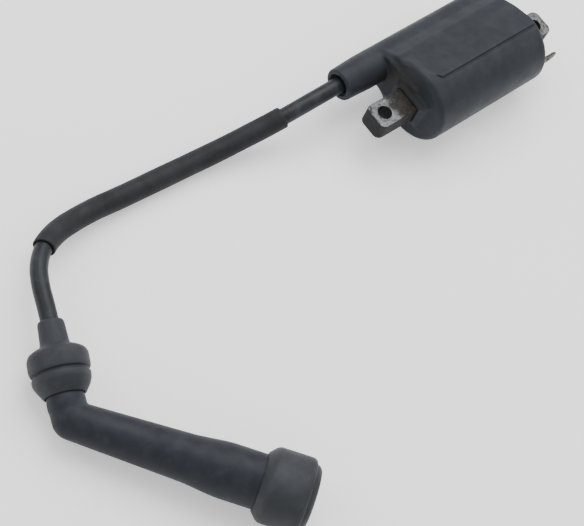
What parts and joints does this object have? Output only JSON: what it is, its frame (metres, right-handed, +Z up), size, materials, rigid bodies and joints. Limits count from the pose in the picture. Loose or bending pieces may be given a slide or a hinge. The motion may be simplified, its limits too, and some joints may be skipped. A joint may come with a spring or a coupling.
{
  "type": "ignition coil",
  "caption": "Small engine ignition coil: moulded body on a laminated core with mounting lugs, sleeved high-tension lead and elbow plug cap.",
  "frame": {"origin": "under the middle of the coil unit, on the surface that it lies on", "axes": "+Y along the core, from the end that the lead leaves to the end with the blade terminals; +Z up, along the mounting holes; the tower is on the -X side"},
  "size_m": [0.152, 0.283, 0.0368],
  "materials": {
    "housing": "black moulded plastic, semi-matte, with a soft sheen",
    "core_steel": "bare grey laminated steel, dull, brighter where washers sat",
    "bobbin_plastic": "natural nylon",
    "magnet_wire": "enamelled copper",
    "resin": "cast black resin",
    "board": "brown paper laminate",
    "tinned_steel": "tinned brass, dulled",
    "brass": "plain brass",
    "seal_rubber": "black rubber",
    "lead_jacket": "black smooth lead insulation",
    "sleeve": "black protective sleeving, matte",
    "cap_rubber": "dark blue-grey rubber, dusty",
    "cap_plastic": "dark blue-grey moulded plastic, semi-matte",
    "spring_steel": "drawn spring wire",
    "ceramic": "unglazed ceramic rod"
  },
  "bodies": {
    "coil": {"coil_housing": "housing", "core_laminations": "core_steel", "primary_bobbin": "bobbin_plastic", "primary_winding": "magnet_wire", "secondary_bobbin": "bobbin_plastic", "secondary_winding": "magnet_wire", "potting_resin": "resin", "terminal_base": "board", "live_terminal": "tinned_steel", "switched_terminal": "tinned_steel", "primary_lead_wires": "magnet_wire", "tower_contact": "brass", "ht_link": "brass", "tower_sealant": "resin", "tower_grommet": "seal_rubber", "lead_insulation": "lead_jacket", "lead_conductor": "magnet_wire", "lead_sleeve": "sleeve"},
    "plug_cap": {"cap_body": "cap_plastic", "lead_screw": "brass", "cap_contact": "brass", "resistor": "ceramic", "resistor_caps": "tinned_steel", "contact_spring": "spring_steel", "plug_terminal": "brass", "retaining_clip": "spring_steel", "plug_seal": "cap_rubber"},
    "boot": {"lead_boot": "cap_rubber"}
  },
  "joints": [
    {"name": "cap_turn", "type": "hinge", "parent": "coil", "child": "plug_cap", "pos_m": [0.0415, -0.226, 0.0095], "axis": [0.9133, -0.3906, -0.1151], "range_deg": [0, 150]},
    {"name": "boot_slide", "type": "slide", "parent": "plug_cap", "child": "boot", "axis": [-0.9133, 0.3906, 0.1151], "range_m": [0, 0.005]}
  ]
}
